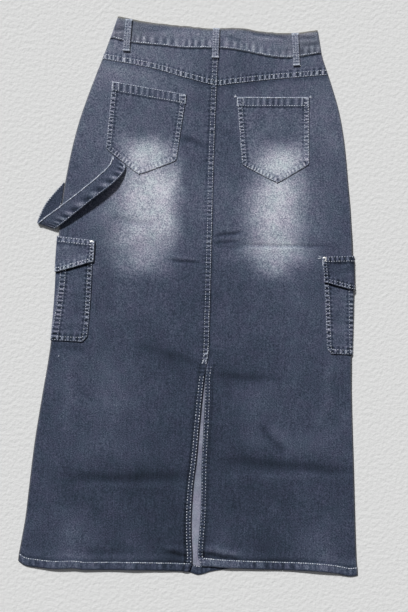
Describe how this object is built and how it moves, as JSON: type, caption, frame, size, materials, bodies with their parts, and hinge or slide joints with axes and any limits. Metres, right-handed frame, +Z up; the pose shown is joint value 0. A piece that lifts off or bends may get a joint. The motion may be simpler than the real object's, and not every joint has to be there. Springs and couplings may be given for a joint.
{
  "type": "long denim skirt laid flat",
  "caption": "Long washed denim skirt laid flat with its back up: yoke, patch and cargo pockets, belt loops, hammer loop and a slit.",
  "frame": {"origin": "middle of the skirt's box, on the surface that it lies on", "axes": "+Y from the hem to the waist, +X to the right as the back is seen from above, +Z up"},
  "size_m": [0.5948, 0.9712, 0.0196],
  "materials": {
    "denim": "washed blue-grey denim twill, matt, hand-sanded pale over the seat",
    "denim_trim": "the same denim, worn pale along its edges and seams",
    "denim_reverse": "the wrong side of the denim, pale grey weft",
    "thread": "pale grey polyester topstitching thread",
    "steel": "nickel-plated rivets and button"
  },
  "bodies": {
    "root": {"front_panel": "denim_reverse", "back_left": "denim", "back_right": "denim", "yoke_left": "denim", "yoke_right": "denim", "waistband": "denim_trim", "waist_button": "steel", "back_pocket_left": "denim_trim", "back_pocket_right": "denim_trim", "belt_loop_left": "denim_trim", "belt_loop_centre": "denim_trim", "belt_loop_right": "denim_trim", "cargo_pocket_left": "denim_trim", "cargo_pocket_right": "denim_trim", "cargo_flap_left": "denim_trim", "cargo_flap_right": "denim_trim", "cargo_rivet_left": "steel", "cargo_rivet_right": "steel", "hammer_loop": "denim_trim"}
  },
  "joints": []
}
